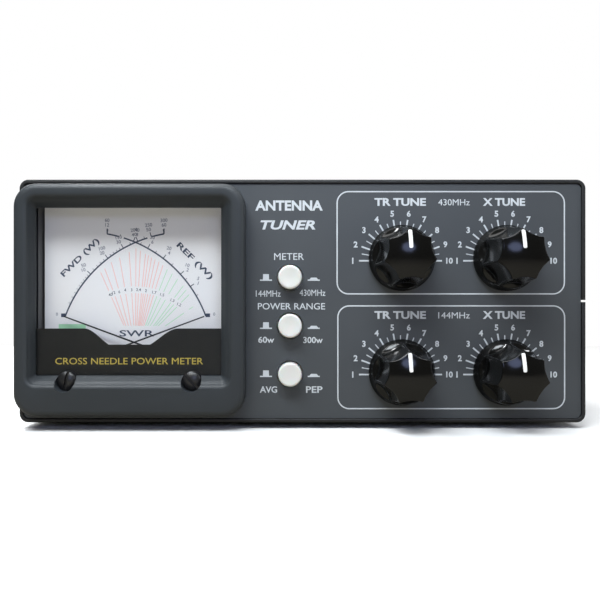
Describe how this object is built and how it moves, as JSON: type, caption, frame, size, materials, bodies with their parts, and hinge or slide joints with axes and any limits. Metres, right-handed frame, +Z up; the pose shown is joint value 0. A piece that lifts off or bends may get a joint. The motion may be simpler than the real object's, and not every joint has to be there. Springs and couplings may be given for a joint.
{
  "type": "cross-needle power meter and antenna tuner",
  "caption": "Desk-top cross-needle power meter and antenna tuner: square twin-needle meter, push buttons and fluted tuning knobs on a dark panel, coaxial sockets behind.",
  "frame": {"origin": "on the surface the feet stand on, under the middle of the whole outline", "axes": "+X to the right seen from the front, +Y to the rear (the front panel faces -Y), +Z up"},
  "size_m": [0.229, 0.1396, 0.0995],
  "materials": {
    "panel_paint": "fine satin blue-grey paint with white print",
    "cover_paint": "black powder coat, fine texture",
    "plated_steel": "zinc plated",
    "black_screw": "black oxide",
    "bright_screw": "bright zinc",
    "foot_rubber": "matt moulded rubber",
    "bezel_plastic": "satin moulded plastic",
    "window_acrylic": "clear flat acrylic",
    "mask_black": "matt black print with yellow lettering",
    "dial_white": "cool white lacquer with printed scales",
    "black_plastic": "moulded, semi-matt",
    "soft_iron": "machined soft iron",
    "brass": "machined",
    "circuit_board": "green solder mask",
    "needle_black": "matt black lacquer",
    "copper_wire": "enamelled copper wire",
    "silver_plate": "silver plated",
    "nickel_plate": "bright nickel",
    "white_insulator": "white fluoropolymer",
    "button_plastic": "warm white moulded, semi-gloss",
    "knob_gloss": "high gloss black with white pointer line"
  },
  "bodies": {
    "case": {"front_panel": "panel_paint", "front_subpanel": "plated_steel", "rear_panel": "cover_paint", "side_rails": "plated_steel", "top_cover": "cover_paint", "bottom_cover": "cover_paint", "cover_screws": "black_screw", "rail_screws": "black_screw", "rubber_feet": "foot_rubber", "foot_screws": "bright_screw", "meter_bezel": "bezel_plastic", "meter_window": "window_acrylic", "meter_mask": "mask_black", "dial_plate": "dial_white", "meter_case": "black_plastic", "meter_screws": "bright_screw", "movement_yokes": "soft_iron", "movement_cores": "soft_iron", "movement_bridges": "brass", "lamp_board": "circuit_board", "capacitor_frames": "plated_steel", "capacitor_stators": "silver_plate", "shaft_bushings": "brass", "bushing_nuts": "bright_screw", "switch_bodies": "black_plastic", "switch_board": "circuit_board", "meter_board": "circuit_board", "coupler_box": "plated_steel", "tuning_coils": "silver_plate", "coax_shells": "nickel_plate", "coax_insulators": "white_insulator", "coax_contacts": "brass", "flange_screws": "bright_screw", "dc_jack": "black_plastic", "ground_stud": "nickel_plate", "ground_nuts": "brass"},
    "tune_tr_430": {"knob_tr_430": "knob_gloss", "grub_screw_tr_430": "black_screw", "rotor_tr_430": "silver_plate"},
    "tune_x_430": {"knob_x_430": "knob_gloss", "grub_screw_x_430": "black_screw", "rotor_x_430": "silver_plate"},
    "tune_tr_144": {"knob_tr_144": "knob_gloss", "grub_screw_tr_144": "black_screw", "rotor_tr_144": "silver_plate"},
    "tune_x_144": {"knob_x_144": "knob_gloss", "grub_screw_x_144": "black_screw", "rotor_x_144": "silver_plate"},
    "push_band": {"button_band": "button_plastic"},
    "push_range": {"button_range": "button_plastic"},
    "push_peak": {"button_peak": "button_plastic"},
    "movement_fwd": {"fwd_needle": "needle_black", "fwd_coil": "copper_wire"},
    "movement_ref": {"ref_needle": "needle_black", "ref_coil": "copper_wire"},
    "adjust_fwd": {"zero_screw_fwd": "black_plastic"},
    "adjust_ref": {"zero_screw_ref": "black_plastic"},
    "lever_fwd": {"zero_lever_fwd": "brass"},
    "lever_ref": {"zero_lever_ref": "brass"}
  },
  "joints": [
    {"name": "turn_tr_430", "type": "hinge", "parent": "case", "child": "tune_tr_430", "pos_m": [0.03955, -0.0477, 0.0681], "axis": [0, 1, 0], "range_deg": [-88, 92]},
    {"name": "turn_x_430", "type": "hinge", "parent": "case", "child": "tune_x_430", "pos_m": [0.08125, -0.0477, 0.0681], "axis": [0, 1, 0], "range_deg": [-88, 92]},
    {"name": "turn_tr_144", "type": "hinge", "parent": "case", "child": "tune_tr_144", "pos_m": [0.03955, -0.0477, 0.0226], "axis": [0, 1, 0], "range_deg": [-88, 92]},
    {"name": "turn_x_144", "type": "hinge", "parent": "case", "child": "tune_x_144", "pos_m": [0.08125, -0.0477, 0.0226], "axis": [0, 1, 0], "range_deg": [-88, 92]},
    {"name": "press_band", "type": "slide", "parent": "case", "child": "push_band", "axis": [0, 1, 0], "range_m": [0, 0.0035], "stiffness_N_per_m": 300},
    {"name": "press_range", "type": "slide", "parent": "case", "child": "push_range", "axis": [0, 1, 0], "range_m": [0, 0.0035], "stiffness_N_per_m": 300},
    {"name": "press_peak", "type": "slide", "parent": "case", "child": "push_peak", "axis": [0, 1, 0], "range_m": [0, 0.0035], "stiffness_N_per_m": 300},
    {"name": "swing_fwd", "type": "hinge", "parent": "case", "child": "movement_fwd", "pos_m": [-0.04745, -0.0477, 0.0266], "axis": [0, 1, 0], "range_deg": [0, 59.8], "stiffness_Nm_per_rad": 0.001, "springref_deg": -5.73},
    {"name": "swing_ref", "type": "hinge", "parent": "case", "child": "movement_ref", "pos_m": [-0.08875, -0.0477, 0.0266], "axis": [0, -1, 0], "range_deg": [0, 59.8], "stiffness_Nm_per_rad": 0.001, "springref_deg": -5.73},
    {"name": "set_fwd", "type": "hinge", "parent": "case", "child": "adjust_fwd", "pos_m": [-0.04355, -0.0477, 0.0196], "axis": [0, 1, 0], "range_deg": [-30, 30]},
    {"name": "set_ref", "type": "hinge", "parent": "case", "child": "adjust_ref", "pos_m": [-0.09265, -0.0477, 0.0196], "axis": [0, 1, 0], "range_deg": [-30, 30]},
    {"name": "shift_fwd", "type": "hinge", "parent": "case", "child": "lever_fwd", "pos_m": [-0.04745, -0.0477, 0.0266], "axis": [0, 1, 0], "range_deg": [-5, 5]},
    {"name": "shift_ref", "type": "hinge", "parent": "case", "child": "lever_ref", "pos_m": [-0.08875, -0.0477, 0.0266], "axis": [0, 1, 0], "range_deg": [-5, 5]}
  ],
  "couplings": [
    {"joint": "shift_fwd", "follows": "set_fwd", "ratio": -0.154},
    {"joint": "shift_ref", "follows": "set_ref", "ratio": -0.154}
  ]
}
